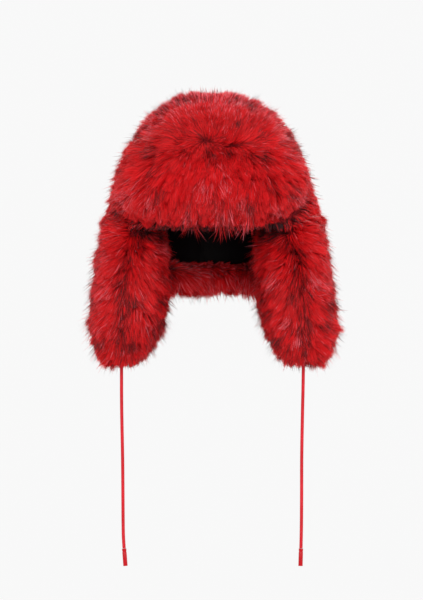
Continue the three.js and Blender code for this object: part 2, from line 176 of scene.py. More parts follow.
tips = {}
for side, route in ROUTES.items():
    low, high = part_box(f"cord_tip_{side}")
    middle = (low + high) / 2
    heading = (middle - Vector(route[-1]) * MM).normalized()
    deselect_all()
    bpy.ops.mesh.primitive_cylinder_add(
        vertices=40, radius=TIP_RADIUS, depth=TIP_LENGTH, end_fill_type="NGON")
    tip = bpy.context.object
    tip.name = f"cord_tip_{side}_crimped"
    select_where(tip, "FACE", lambda face: abs(face.normal.z) > 0.9)
    bpy.ops.mesh.inset(thickness=RIM_WALL, depth=0)
    bpy.ops.mesh.inset(thickness=MOUTH_WALL, depth=-MOUTH_DEPTH)
    for height in CRIMP_RINGS:
        bpy.ops.mesh.select_all(action="SELECT")
        bpy.ops.mesh.bisect(plane_co=(0, 0, height), plane_no=(0, 0, 1))
    select_where(tip, "VERT", lambda point: abs(point.co.z - CRIMP_RINGS[1]) < 1e-5)
    bpy.ops.transform.resize(value=(CRIMP_SHARE, CRIMP_SHARE, 1))
    bpy.ops.object.mode_set(mode="OBJECT")
    bevel = tip.modifiers.new("rims", "BEVEL")
    bevel.width = RIM_ROUNDING
    bevel.segments = 3
    bevel.angle_limit = math.radians(40)
    bpy.ops.object.modifier_apply(modifier=bevel.name)
    tip.rotation_mode = "QUATERNION"
    tip.rotation_quaternion = (-heading).to_track_quat("Z", "Y")
    tip.location = middle
    bpy.ops.object.transform_apply(location=True, rotation=True, scale=True)
    bpy.ops.object.shade_smooth_by_angle(angle=math.radians(35))
    tips[side] = tip
    leaning = round(math.degrees(heading.angle((0, 0, -1))), 1)
    print(tip.name, len(tip.data.polygons), "faces, leaning", leaning, "degrees")

# %% Cords and tips put on the root body
for side, cord in cords.items():
    tip = tips[side]
    route = [tuple(v * MM for v in place) for place in ROUTES[side]]
    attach(cord, "root")
    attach(tip, "root")
    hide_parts(f"tie_cord_{side}")
    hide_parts(f"cord_tip_{side}")
    print(cord.name, "hangs from", [round(v, 3) for v in route[0]])

# %% [markdown]
# ## Studio
# The hat is shown on seamless pale paper: a floor far below it that bends up into a wall all round. One
# disc, extruded ring by ring, makes that sweep, so it looks the same from every side. The paper glows a
# little, as paper does that is lit by lamps of its own, and so it stays even and takes no shadow. Five soft
# lamps light the fur: a strong one in front, which fills the pile to its depth, a weak one on each side and
# one above, which model it, and one behind, for the edge of the crown and the views from the back.

# %% Sweep of paper
FLOOR_Z = -1.4
FLOOR_RADIUS = 7.0
BEND_RADIUS = 2.0
BEND_STEPS = 8
WALL_HEIGHT = 8.0

deselect_all()
bpy.ops.mesh.primitive_circle_add(
    vertices=96, radius=FLOOR_RADIUS, fill_type="NGON", location=(0, 0, FLOOR_Z))
paper = bpy.context.object
paper.name = "paper_sweep"
bpy.ops.object.mode_set(mode="EDIT")
bpy.ops.mesh.select_all(action="SELECT")
bpy.ops.mesh.flip_normals()
select_where(paper, "EDGE", lambda edge: True)
for step in range(1, BEND_STEPS + 1):
    turn = math.radians(90) * step / BEND_STEPS
    last = math.radians(90) * (step - 1) / BEND_STEPS
    up = BEND_RADIUS * (math.cos(last) - math.cos(turn))
    grow = (FLOOR_RADIUS + BEND_RADIUS * math.sin(turn)) / (FLOOR_RADIUS + BEND_RADIUS * math.sin(last))
    bpy.ops.mesh.extrude_edges_move(TRANSFORM_OT_translate={"value": (0, 0, up)})
    bpy.ops.transform.resize(value=(grow, grow, 1))
bpy.ops.mesh.extrude_edges_move(TRANSFORM_OT_translate={"value": (0, 0, WALL_HEIGHT)})
bpy.ops.object.mode_set(mode="OBJECT")
bpy.ops.object.shade_smooth()
print("paper sweep", len(paper.data.polygons), "faces")


# %% [markdown]
# ## Colours and nodes
# Colours are written as they are read off a screen, in hex, and turned to the linear light that shaders work
# in. All the materials are built with one helper, which adds a node with its settings and links its inputs.

# %% Helpers for materials
def linear(code):
    """An sRGB hex colour as linear RGBA."""
    shares = [int(code[i:i + 2], 16) / 255 for i in (0, 2, 4)]
    return (*[s / 12.92 if s <= 0.04045 else ((s + 0.055) / 1.055) ** 2.4 for s in shares], 1)


def add_node(tree, kind, settings=(), inputs=(), stops=()):
    """One node of a kind, with its settings. An input that is given an output is linked to it."""
    made = tree.nodes.new("ShaderNode" + kind)
    for name, value in dict(settings).items():
        setattr(made, name, value)
    for name, value in dict(inputs).items():
        if isinstance(value, bpy.types.NodeSocket):
            tree.links.new(value, made.inputs[name])
        else:
            made.inputs[name].default_value = value
    for i, (place, code) in enumerate(stops):
        if i >= 2:
            made.color_ramp.elements.new(place)
        made.color_ramp.elements[i].position = place
        made.color_ramp.elements[i].color = linear(code)
    return made


def new_material(name):
    """An empty material and its tree."""
    material = bpy.data.materials.new(name)
    material.use_nodes = True
    material.node_tree.nodes.clear()
    return material, material.node_tree


def surface_of(tree, inputs):
    """The surface shader of a material, with its inputs, linked to the output."""
    surface = add_node(tree, "BsdfPrincipled", inputs=inputs)
    add_node(tree, "OutputMaterial", inputs={"Surface": surface.outputs["BSDF"]})


def finish_with(piece, material):
    """Gives a piece one material."""
    piece.data.materials.clear()
    piece.data.materials.append(material)


print("mid grey in linear light:", round(linear("808080")[0], 3))

# %% Paper and lamps
# Uncoated paper: it has no gloss, and its own glow all but hides its grain.
seamless_paper, tree = new_material("seamless_paper")
grain = add_node(tree, "TexNoise", inputs={"Scale": 3.0, "Detail": 2.0})
tone = add_node(tree, "ValToRGB", inputs={"Fac": grain.outputs["Fac"]}, stops=[(0, "F8F8F8"), (1, "F9F9F9")])
surface_of(tree, {
    "Base Color": linear("1E1E1E"), "Roughness": 1.0, "Specular IOR Level": 0.0,
    "Emission Color": tone.outputs["Color"], "Emission Strength": 0.985})
finish_with(paper, seamless_paper)

world = bpy.data.worlds.new("studio_air")
bpy.context.scene.world = world
world.use_nodes = True
world.node_tree.nodes["Background"].inputs["Color"].default_value = linear("F6F6F8")
world.node_tree.nodes["Background"].inputs["Strength"].default_value = 0.62

LAMP_SIZE = 1.4
LAMP_AIM = Vector((0, 0, -0.12))
LAMPS = [
    # name, place, power in watts
    ("soft_lamp_above", (-0.2, -0.1, 2.2), 13),
    ("soft_lamp_front", (0.2, -2.5, 0.4), 41),
    ("soft_lamp_left", (-2.2, -0.7, 0.3), 14),
    ("soft_lamp_right", (2.2, -0.7, 0.3), 14),
    ("soft_lamp_behind", (0.3, 1.9, 1.5), 26)]
for name, place, power in LAMPS:
    bpy.ops.object.light_add(type="AREA", location=place)
    lamp = bpy.context.object
    lamp.name = name
    lamp.data.size = LAMP_SIZE
    lamp.data.energy = power
    lamp.rotation_euler = (LAMP_AIM - Vector(place)).to_track_quat("-Z", "Y").to_euler()
bpy.context.scene.view_settings.view_transform = "Standard"
print(len(LAMPS), "soft lamps")

# %% [markdown]
# ## Materials of the cords
# The cord is a thin tube of satin-faced polyester. Its filaments are far too fine for the picture, so a
# shallow rib that winds round the cord stands for them, a little coarser than life. The tips are moulded
# plastic: an even deep red with a soft gloss.

# %% Satin cord
# Woven polyester, dyed in the yarn: a soft sheen along the cord, broken by the rib, which these turns of the
# map make about 0.8 mm wide. The wear is a fine noise, measured in the cord's own box and not in metres.
RIB_TURNS = (180, 3, 1)
satin_cord, tree = new_material("satin_cord")
along = add_node(tree, "UVMap", {"uv_map": "UVMap"})
placed = add_node(tree, "Mapping", inputs={"Vector": along.outputs["UV"], "Scale": RIB_TURNS})
rib = add_node(tree, "TexWave", {"wave_type": "BANDS", "bands_direction": "DIAGONAL"},
               {"Vector": placed.outputs["Vector"], "Scale": 1.0, "Distortion": 0.4})
wear = add_node(tree, "TexNoise", inputs={"Scale": 60.0, "Detail": 3.0})
shade = add_node(tree, "ValToRGB", inputs={"Fac": wear.outputs["Fac"]},
                 stops=[(0.3, "B0141E"), (0.7, "C21C28")])
lift = add_node(tree, "Bump", inputs={"Strength": 0.35, "Distance": 0.0003, "Height": rib.outputs["Fac"]})
surface_of(tree, {
    "Base Color": shade.outputs["Color"], "Normal": lift.outputs["Normal"], "Roughness": 0.42,
    "Specular IOR Level": 0.15})
for cord in cords.values():
    finish_with(cord, satin_cord)
print(satin_cord.name, "on", len(cords), "cords")

# %% Moulded plastic of the tips
# Red plastic from a polished mould: smooth, with a thin bright line on each rim. Its colour drifts in a faint
# fine noise, measured in the tip's own box and not in metres.
moulded_tip, tree = new_material("moulded_red_plastic")
cloud = add_node(tree, "TexNoise", inputs={"Scale": 90.0, "Detail": 2.0})
shade = add_node(tree, "ValToRGB", inputs={"Fac": cloud.outputs["Fac"]},
                 stops=[(0.3, "A00612"), (0.7, "B20A16")])
surface_of(tree, {
    "Base Color": shade.outputs["Color"], "Roughness": 0.3, "Specular IOR Level": 0.15,
    "Coat Weight": 0.06, "Coat Roughness": 0.15})
for tip in tips.values():
    finish_with(tip, moulded_tip)
print(moulded_tip.name, "on", len(tips), "tips")


# %% [markdown]
# ## Lining
# The crown is lined with near-black satin, cut in panels whose seams pull into shallow furrows. The frame's
# lining is a thin faceted dome with the right wall. A copy of it is welded and smoothed, and the faces along
# each seam are pressed in, as a sewn seam lies.

# %% Lining
def copy_of(node, name):
    """A new object with a welded copy of a CAD node's mesh, selected and active."""
    deselect_all()
    piece = bpy.data.objects.new(name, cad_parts[node].data.copy())
    bpy.context.scene.collection.objects.link(piece)
    piece.data.materials.clear()
    piece.select_set(True)
    bpy.context.view_layer.objects.active = piece
    bpy.ops.object.mode_set(mode="EDIT")
    bpy.ops.mesh.select_all(action="SELECT")
    bpy.ops.mesh.remove_doubles(threshold=1e-5)
    bpy.ops.object.mode_set(mode="OBJECT")
    return piece


def apply_modifiers(piece):
    """Applies every modifier of the active piece in turn."""
    for modifier in list(piece.modifiers):
        bpy.ops.object.modifier_apply(modifier=modifier.name)


lining = copy_of("crown_lining", "crown_lining_satin")
smooth = lining.modifiers.new("smooth", "SUBSURF")
smooth.levels = smooth.render_levels = 2
apply_modifiers(lining)

SEAM_TURN = math.radians(-7)
SEAM_STEP = math.radians(60)
FURROW_WIDTH = 0.004
FURROW_DEPTH = 0.0014
seams = lining.vertex_groups.new(name="panel_seams")
for point in lining.data.vertices:
    bearing = math.atan2(point.co.x, point.co.y) - SEAM_TURN
    off_seam = abs((bearing + SEAM_STEP / 2) % SEAM_STEP - SEAM_STEP / 2)
    distance = math.hypot(point.co.x, point.co.y) * math.sin(off_seam)
    seams.add([point.index], math.exp(-(distance / FURROW_WIDTH) ** 2), "REPLACE")
furrow = lining.modifiers.new("furrow", "DISPLACE")
furrow.strength = -FURROW_DEPTH
furrow.mid_level = 0.0
furrow.vertex_group = seams.name
apply_modifiers(lining)
bpy.ops.object.shade_smooth()
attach(lining, "root")
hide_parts("crown_lining")
print("lining", len(lining.data.polygons), "faces")

# %% Satin lining
# Acetate satin, woven and dyed near black: it swallows the light, and only soft creases tell that it is
# cloth. They are about 33 mm wide and 110 mm long, down the crown.
CREASES_PER_METRE = (30, 30, 9)
lining_satin, tree = new_material("black_satin_lining")
place = add_node(tree, "TexCoord")
pull = add_node(tree, "Mapping", inputs={"Vector": place.outputs["Object"], "Scale": CREASES_PER_METRE})
crease = add_node(tree, "TexNoise", inputs={"Vector": pull.outputs["Vector"], "Scale": 1.0, "Detail": 3.0})
shade = add_node(tree, "ValToRGB", inputs={"Fac": crease.outputs["Fac"]},
                 stops=[(0.3, "040203"), (0.75, "080304")])
lift = add_node(tree, "Bump", inputs={"Strength": 0.5, "Distance": 0.002, "Height": crease.outputs["Fac"]})
surface_of(tree, {
    "Base Color": shade.outputs["Color"], "Normal": lift.outputs["Normal"], "Roughness": 0.6,
    "Specular IOR Level": 0.05})
finish_with(lining, lining_satin)
print(lining_satin.name, "on the lining")


# %% [markdown]
# ## Pelts
# Under the pile lies a knitted backing, the pelt. The frame's fur parts are solids with coarse locks, of the
# right size but not the right surface. A copy of each is remeshed in small voxels and smoothed until the
# locks melt into a soft body, and then its open sides are drawn in, because hair of some length still has to
# stand on it. Sides that lie against another part stay where they are.

# %% Where a surface is open to the air
def others_than(node):
    """A search tree of every CAD node but the named one."""
    points, faces = [], []
    for name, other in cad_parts.items():
        if name != node:
            start = len(points)
            points += [v.co.copy() for v in other.data.vertices]
            faces += [[start + i for i in face.vertices] for face in other.data.polygons]
    return BVHTree.FromPolygons(points, faces)


CLEAR = 0.0005


def open_to_air(points, normals, tree, reach):
    """For each point, whether a hair that grows straight out for that reach meets no other part."""
    return np.array([
        tree.ray_cast(Vector(p) + Vector(n) * CLEAR, Vector(n), reach)[0] is None
        for p, n in zip(points.tolist(), normals.tolist())])


def points_and_normals(mesh):
    """A mesh's vertices and their normals as arrays."""
    points = np.empty(len(mesh.vertices) * 3)
    mesh.vertices.foreach_get("co", points)
    normals = np.empty(len(mesh.vertices) * 3)
    mesh.vertex_normals.foreach_get("vector", normals)
    return points.reshape(-1, 3), normals.reshape(-1, 3)


print("a hair looks out from", CLEAR, "m above its root")

# %% Corners of the front flap
# The front flap is rounder at its corners than its solid is, so its pelt is drawn in further there, and its
# lower right corner is lifted and moved inwards. Each corner is x, z and radius in mm, and how much of it.
ROUND_CORNERS = [(-80, 0, 40, 1.0), (86, -2, 36, 0.6), (110, -118, 50, 1.0), (-108, -124, 34, 0.45)]
LIFTED_CORNER = [(106, -122, 52, 1.0)]
LIFT = {"Z": 0.017, "X": -0.006}


def corner_share(points, corners=ROUND_CORNERS):
    """How far each point lies in a rounded corner of the front flap."""
    share = np.zeros(len(points))
    for x, z, radius, most in corners:
        off = np.hypot(points[:, 0] - x * MM, points[:, 2] - z * MM) / (radius * MM)
        share = np.maximum(share, most * np.clip(1.4 * (1 - off), 0, 1))
    return share


print(len(ROUND_CORNERS), "corners of the front flap are rounded")

# %% Pelts
VOXEL = 0.0045
SINK = {
    "crown_fur": 0.009, "front_flap": 0.009, "ear_flap_left": 0.009, "ear_flap_right": 0.009,
    "nape_flap": 0.007}
CORNER_SINK = 0.009
PELT_REACH = 0.012
# Beside the seam of the crown and the flaps a pelt is drawn in less, in front by a tenth only, so that no gap
# opens there.
SEAM_Z = -0.1222
SEAM_FADE = 0.014
SEAM_KEPT_IN_FRONT, SEAM_KEPT_BEHIND = 0.1, 0.8

pelts = {}
for node, sink in SINK.items():
    pelt = copy_of(node, node + "_pelt")
    remesh = pelt.modifiers.new("remesh", "REMESH")
    remesh.mode = "VOXEL"
    remesh.voxel_size = VOXEL
    melt = pelt.modifiers.new("melt", "SMOOTH")
    melt.factor = 0.5
    melt.iterations = 14
    apply_modifiers(pelt)
    places, normals = points_and_normals(pelt.data)
    free = open_to_air(places, normals, others_than(node), PELT_REACH)
    least = np.where(places[:, 1] < -0.05, SEAM_KEPT_IN_FRONT, SEAM_KEPT_BEHIND)
    seam = np.clip(np.abs(places[:, 2] - SEAM_Z) / SEAM_FADE, least, 1)
    deep = np.zeros(len(places))
    if node == "front_flap":
        seam[:] = 1
        deep = CORNER_SINK * corner_share(places)
    group = pelt.vertex_groups.new(name="open_side")
    for i in np.flatnonzero(free):
        group.add([int(i)], seam[i] * (sink + deep[i]) / (sink + CORNER_SINK), "REPLACE")
    draw_in = pelt.modifiers.new("draw_in", "DISPLACE")
    draw_in.strength = -(sink + CORNER_SINK)
    draw_in.mid_level = 0.0
    draw_in.vertex_group = group.name
    if node == "front_flap":
        lifted = pelt.vertex_groups.new(name="lifted_corner")
        for i, share in enumerate(corner_share(places, LIFTED_CORNER)):
            lifted.add([i], share, "REPLACE")
        for axis, distance in LIFT.items():
            lift = pelt.modifiers.new("lift_corner", "DISPLACE")
            lift.direction = axis
            lift.strength = distance
            lift.mid_level = 0.0
            lift.vertex_group = lifted.name
    even = pelt.modifiers.new("even", "SMOOTH")
    even.factor = 0.5
    even.iterations = 3
    apply_modifiers(pelt)
    bpy.ops.object.shade_smooth()
    pelts[node] = pelt
    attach(pelt, "root")
    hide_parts(node)
    print(pelt.name, len(pelt.data.polygons), "faces,", round(100 * free.mean()), "% open")

# %% Knitted backing
# Polyester knit, dyed with the pile: where the hair parts, the eye finds a dull dark red ground. Its fuzz is
# 2.4 mm wide, 420 to the metre, coarser than the stitches, which are too fine to show.
FUZZ_PER_METRE = 420.0
knitted_backing, tree = new_material("knitted_fur_backing")
place = add_node(tree, "TexCoord")
fuzz = add_node(tree, "TexNoise",
                inputs={"Vector": place.outputs["Object"], "Scale": FUZZ_PER_METRE, "Detail": 3.0})
shade = add_node(tree, "ValToRGB", inputs={"Fac": fuzz.outputs["Fac"]},
                 stops=[(0.35, "3A0408"), (0.7, "7A0C14")])
lift = add_node(tree, "Bump", inputs={"Strength": 0.8, "Distance": 0.001, "Height": fuzz.outputs["Fac"]})
surface_of(tree, {
    "Base Color": shade.outputs["Color"], "Normal": lift.outputs["Normal"], "Roughness": 0.95,
    "Specular IOR Level": 0.1})
for pelt in pelts.values():
    finish_with(pelt, knitted_backing)
print(knitted_backing.name, "on", len(pelts), "pelts")

# %% [markdown]
# ## One hair
# Faux fur is acrylic fibre, knitted into the backing: fine, slightly flat, and drawn to a point. One hair is
# modelled as a narrow kite. A plane is its lower half, whose lower edge is merged to the root. Its upper
# edge is extruded for the upper half, and the new edge is merged to the tip. Every hair of the pile is a
# copy of this blade, bent along its own path. Two triangles a hair are few, but they leave room for very
# many hairs, and it is the number and fineness of the hairs that reads as fur.

# %% The blade of one hair
BLADE_RINGS = [0.0, 0.50, 1.0]
deselect_all()
bpy.ops.mesh.primitive_plane_add(size=1, location=(0, 0, 0))
blade = bpy.context.object
blade.name = "blade_of_one_hair"
bpy.ops.object.mode_set(mode="EDIT")
bpy.ops.mesh.select_all(action="SELECT")
bpy.ops.transform.translate(value=(0, 0.5, 0))
bpy.ops.transform.resize(value=(1, BLADE_RINGS[1], 1), center_override=(0, 0, 0))
for upper in (False, True):
    select_where(blade, "VERT", lambda point: (point.co.y > BLADE_RINGS[1] / 2) == upper)
    if upper:
        bpy.ops.mesh.extrude_edges_move(
            TRANSFORM_OT_translate={"value": (0, BLADE_RINGS[2] - BLADE_RINGS[1], 0)})
    bpy.ops.mesh.merge(type="CENTER")
bpy.ops.object.mode_set(mode="OBJECT")
BLADE_POINTS = np.array([point.co[:2] for point in blade.data.vertices])
BLADE_FACES = [list(face.vertices) for face in blade.data.polygons]
bpy.data.objects.remove(blade)
print("one hair has", len(BLADE_POINTS), "points and faces of", [len(face) for face in BLADE_FACES])


# %% [markdown]
# ## Combing, gathering and copying the hair
# A pile reads as fur when three things are right. It is combed: on every pelt the hair leans along a flow,
# so each part has a small rule for the way that the hair lies. It is gathered: neighbouring hairs cling
# together into locks that end in a point, with dark gaps between. And no two hairs are alike in length, turn
# and shade. Blender's own hair isn't a mesh, so all of it is done on whole arrays of hairs, of which there
# are over four hundred thousand.

# %% Helpers for arrays of hairs
def unit(vectors):
    """Vectors of length one."""
    return vectors / np.maximum(np.linalg.norm(vectors, axis=-1, keepdims=True), 1e-12)


def held(values):
    """Values held between 0 and 1."""
    return np.clip(values, 0, 1)


def drift(points, wavelength, seed):
    """A smooth value that wanders through space, mostly between -1 and 1."""
    chance = np.random.default_rng(seed)
    total = np.zeros(len(points))
    for _ in range(7):
        way = unit(chance.normal(size=3))
        waves = 2 * np.pi / (wavelength * chance.uniform(0.7, 1.5))
        total += np.sin(points @ way * waves + chance.uniform(0, 2 * np.pi))
    return total / 7 ** 0.5


def roots_on(pelt, count, chance, tree, reach):
    """Points spread evenly over the open side of a pelt, the pelt's normals there, and that side's area."""
    mesh = pelt.data
    mesh.calc_loop_triangles()
    corners = np.empty(len(mesh.loop_triangles) * 3, int)
    mesh.loop_triangles.foreach_get("vertices", corners)
    corners = corners.reshape(-1, 3)
    places, normals = points_and_normals(mesh)
    a, b, c = (places[corners[:, i]] for i in range(3))
    facing = unit(normals[corners].sum(1))
    free = open_to_air((a + b + c) / 3, facing, tree, reach)
    area = np.linalg.norm(np.cross(b - a, c - a), axis=1) * free
    picked = corners[chance.choice(len(corners), size=count, p=area / area.sum())]
    s, t = np.sqrt(chance.random(count)), chance.random(count)
    shares = np.stack([1 - s, s * (1 - t), s * t], 1)[:, :, None]
    return (places[picked] * shares).sum(1), unit((normals[picked] * shares).sum(1)), area.sum() / 2


def paths_of(roots, normals, flow, lean, length, sag):
    """Each hair's line at the blade's rings. It starts near upright, leans into the flow and sags."""
    rings = [roots]
    for start, end in zip(BLADE_RINGS, BLADE_RINGS[1:]):
        along = (start + end) / 2
        tilt = np.radians(lean[0] + (lean[1] - lean[0]) * along)[:, None]
        heading = normals * np.cos(tilt) + flow * np.sin(tilt)
        heading[:, 2] -= sag * along
        rings.append(rings[-1] + unit(heading) * (length * (end - start))[:, None])
    return np.stack(rings, 1)


def nearest_lock(roots, normals, lock_roots, lock_normals):
    """The index of the lock that each hair belongs to: the nearest on its own side of the pelt."""
    search = KDTree(len(lock_roots))
    for i, place in enumerate(lock_roots.tolist()):
        search.insert(place, i)
    search.balance()
    found = np.zeros(len(roots), int)
    for i, place in enumerate(roots.tolist()):
        near = [j for _, j, _ in search.find_n(place, 4)]
        same = [j for j in near if normals[i] @ lock_normals[j] > 0.3]
        found[i] = (same or near)[0]
    return found


print("one hair has rings at", BLADE_RINGS, "of its length")

# %% A coat of hair from arrays
# How far a blade is shaded as the pelt under it, the width of a hair on the map, and the map's margin.
SOFTNESS = 0.9
KIND_WIDTH = 0.012
MAP_MARGIN = 0.02


def blades_along(name, paths, normals, width, roll, kind):
    """One mesh of blades along paths. The map named OFBake holds each hair's kind across and its length
    upwards. The blades are shaded partly as the pelt under them, because light scatters from hair to hair in
    a real pile."""
    count = len(paths)
    level = np.searchsorted(BLADE_RINGS, BLADE_POINTS[:, 1] - 1e-4)
    tangents = unit(np.gradient(paths, axis=1))
    side = unit(np.cross(tangents, normals[:, None]))
    up = np.cross(side, tangents)
    across = side * np.cos(roll)[:, None, None] + up * np.sin(roll)[:, None, None]
    offset = (BLADE_POINTS[:, 0] * width[:, None])[:, :, None]
    points = paths[:, level] + across[:, level] * offset
    corners = np.array([i for face in BLADE_FACES for i in face])
    sizes = np.array([len(face) for face in BLADE_FACES])
    starts = np.concatenate([[0], np.cumsum(sizes)[:-1]])
    per_hair = len(BLADE_POINTS)
    all_corners = (corners[None] + np.arange(count)[:, None] * per_hair).ravel()
    all_starts = (starts[None] + np.arange(count)[:, None] * len(corners)).ravel()
    mesh = bpy.data.meshes.new(name)
    mesh.vertices.add(count * per_hair)
    mesh.vertices.foreach_set("co", points.astype(np.float32).ravel())
    mesh.loops.add(len(all_corners))
    mesh.loops.foreach_set("vertex_index", all_corners.astype(np.int32))
    mesh.polygons.add(count * len(sizes))
    mesh.polygons.foreach_set("loop_start", all_starts.astype(np.int32))
    mesh.update(calc_edges=True)
    mesh.shade_smooth()
    flat = np.cross(across[:, level], tangents[:, level])
    soft = SOFTNESS * held((flat * normals[:, None]).sum(-1, keepdims=True)) ** 2
    facing = unit(flat * (1 - soft) + normals[:, None] * soft)
    mesh.normals_split_custom_set_from_vertices(facing.reshape(-1, 3).tolist())
    chart = mesh.uv_layers.new(name="OFBake")
    u = kind[:, None] + BLADE_POINTS[None, :, 0] * KIND_WIDTH
    v = np.broadcast_to(MAP_MARGIN + (1 - 2 * MAP_MARGIN) * BLADE_POINTS[None, :, 1], u.shape)
    spots = np.stack([u, v], -1)[:, corners]
    chart.data.foreach_set("uv", spots.astype(np.float32).ravel())
    piece = bpy.data.objects.new(name, mesh)
    bpy.context.scene.collection.objects.link(piece)
    return piece


print("softness of the shading:", SOFTNESS)

# %% [markdown]
# ## Kinds of hair
# The pile is a blend. Most hair is red, some is wine red, some brighter, a little is pale and pinkish, and
# the long guard hairs end nearly black. Hair under the front flap, and on the crown behind its top edge, is
# coloured nearly black all over: this is painted shade, for the flap's shadow and for a deep pile that light
# hardly gets out of. The kind is one number from 0 to 1, and the hair's material reads it across its map.
# Dark tips and pale hair are thicker in a few patches, as blotches, which are charted where the hat shows
# them; the pale patches along the front flap's rim are a painted highlight.

# %% Kinds of hair
# The first kind is painted shade: nearly black hair where the front flap's shadow falls.
PAINTED_SHADE, WINE, RED = (0.006, 0.010), (0.035, 0.17), (0.20, 0.50)
BRIGHT, PALE, DARK = (0.52, 0.68), (0.72, 0.80), (0.86, 0.97)


def shade_of(kind, share):
    """A place within the range of one kind."""
    return kind[0] + (kind[1] - kind[0]) * share


print("the blend runs from", PAINTED_SHADE[0], "to", DARK[1])

# %% Patches and shaded lines
# Each patch is x, z and radius in mm, and lies on the side that faces the front. The dark ones are on the
# crown, the front flap and the two ear flaps. The first ten pale ones run along the front flap's top rim and
# are a painted highlight; the other pale ones are paler hair.
DARK_PATCHES = [
    (-59, 11, 8), (-30, 23, 7), (25, 23, 6), (42, 12, 7), (-88, -19, 7), (90, -18, 8), (100, -36, 9),
    (-71, -44, 11), (-72, -65, 7), (-3, -31, 9), (18, -44, 6), (-33, -44, 7), (59, -49, 10), (57, -22, 6),
    (28, -8, 6), (69, -83, 7), (89, -86, 7), (-63, -92, 7), (41, -104, 7),
    (-112, -110, 8), (-87, -214, 9), (-102, -226, 6), (-59, -210, 7), (-63, -235, 8), (-110, -252, 6),
    (-92, -260, 7), (-132, -260, 7), (83, -144, 6), (97, -152, 6), (92, -202, 10), (93, -187, 6),
    (100, -229, 6), (107, -241, 8), (130, -237, 7), (73, -255, 7), (60, -224, 6), (103, -268, 6),
    (133, -214, 6)]
PALE_AND_HIGHLIGHT_PATCHES = [
    (-72, -14, 8), (-62, -2, 8), (-45, 9, 9), (-25, 14, 10), (0, 15, 11), (20, 13, 11), (45, 8, 10),
    (64, 3, 10), (76, -9, 9), (84, -24, 9), (-102, -92, 12), (-114, -70, 8), (-8, -86, 9), (-8, 28, 9),
    (4, 30, 11), (50, 27, 10), (88, -42, 9), (102, -92, 9), (14, -83, 7), (35, -98, 7), (73, -108, 6),
    (-75, -100, 8), (-56, -150, 9), (-70, -240, 8), (120, -190, 12), (66, -190, 9), (-125, -200, 9),
    (96, -255, 7), (80, -235, 8)]
# Each point of a line beside the front flap's edge is x, z and reach in mm, and how dark the painted shade
# is there. Under the flap it paints the flap's shadow, and behind its top edge the shade where it meets the
# crown.
SHADOW_UNDER_FLAP = [
    (-104, -110, 10, 0.35), (-88, -121, 12, 0.75), (-68, -128, 13, 0.95), (-50, -131, 12, 0.95),
    (46, -131, 11, 0.9), (62, -128, 13, 1.0), (78, -121, 14, 1.0), (95, -110, 12, 0.8), (107, -96, 8, 0.5),
    (114, -82, 6, 0.25)]
SHADE_BEHIND_FLAP = [
    (-101, -28, 5, 0.2), (-84, -15, 6, 0.4), (-77, -6, 6, 0.5), (-62, 11, 6, 0.4), (-30, 23, 5, 0.2),
    (14, 26, 5, 0.12), (48, 19, 5, 0.2), (72, 9, 6, 0.35), (89, -13, 6, 0.45), (105, -33, 6, 0.35),
    (114, -50, 6, 0.25), (119, -70, 6, 0.15)]
FRONT_FADE = 0.03
LINE_START = -0.012


def patch_share(points, patches):
    """How far each point on the front lies in one of the patches, from 0 to 1."""
    in_front = held(-points[:, 1] / FRONT_FADE)
    share = np.zeros(len(points))
    for x, z, radius in patches:
        off = np.hypot(points[:, 0] - x * MM, points[:, 2] - z * MM) / (radius * MM)
        share = np.maximum(share, in_front * np.exp(-off ** 2))
    return share


def beside_line(points, line):
    """How dark the painted shade is at each point of the front half, beside a line."""
    share = np.zeros(len(points))
    for (x, z, reach, deep), (next_x, next_z, next_reach, next_deep) in zip(line, line[1:]):
        offset = points[:, [0, 2]] - np.array([x, z]) * MM
        span = np.array([next_x - x, next_z - z]) * MM
        along = held(offset @ span / (span @ span))
        off = np.linalg.norm(offset - along[:, None] * span, axis=1) / MM
        near = np.exp(-(off / (reach + (next_reach - reach) * along)) ** 4)
        share = np.maximum(share, (deep + (next_deep - deep) * along) * near)
    return share * held((LINE_START - points[:, 1]) / FRONT_FADE)


print(len(DARK_PATCHES), "dark and", len(PALE_AND_HIGHLIGHT_PATCHES), "pale patches")

# %% Picking each hair's kind
WINE_SHARE, BRIGHT_SHARE, PALE_SHARE = 0.12, 0.15, 0.008
MOOD_SWING = 0.13
PALE_IN_PATCH, DARK_IN_PATCH = 0.34, 0.62
PALE_GUARDS, DARK_GUARDS, DARK_OTHERS = 0.06, 0.6, 0.008


def kinds_for(points, mood, guard, rule, shaded, chance):
    """Picks each hair's kind by chance, its lock's mood, the part's rule, the patch that it shows in, and the
    painted shade beside the front flap.
    """
    count = len(points)
    toss = chance.random(count)
    within = chance.random(count)
    dark_patch = np.maximum(patch_share(points, DARK_PATCHES), held(drift(points, 0.055, 31) - 0.95))
    pale_and_highlight = np.maximum(patch_share(points, PALE_AND_HIGHLIGHT_PATCHES), held(drift(points, 0.070, 32) - 1.35))
    kind = shade_of(RED, held(within * 0.6 + 0.2 + 0.2 * mood))
    for share, picked in [
            (WINE_SHARE + rule["deeper_red_and_shade"] - MOOD_SWING * mood, WINE),
            (BRIGHT_SHARE + MOOD_SWING * mood, BRIGHT),
            (PALE_SHARE + np.maximum(PALE_IN_PATCH * pale_and_highlight, rule["rosy_and_painted_light"]), PALE)]:
        kind = np.where(toss < share, shade_of(picked, within), kind)
        toss = np.where(toss < share, 2.0, toss - share)
    kind = np.where(guard & (chance.random(count) < PALE_GUARDS), shade_of(PALE, within), kind)
    dark_tips_and_shade = np.maximum(dark_patch * DARK_IN_PATCH, rule["dark_tips_and_shade"])
    dark = chance.random(count) < np.where(guard, DARK_GUARDS, DARK_OTHERS) + dark_tips_and_shade
    kind = np.where(dark, shade_of(DARK, within), kind)
    return np.where(chance.random(count) < shaded, shade_of(PAINTED_SHADE, within), kind)


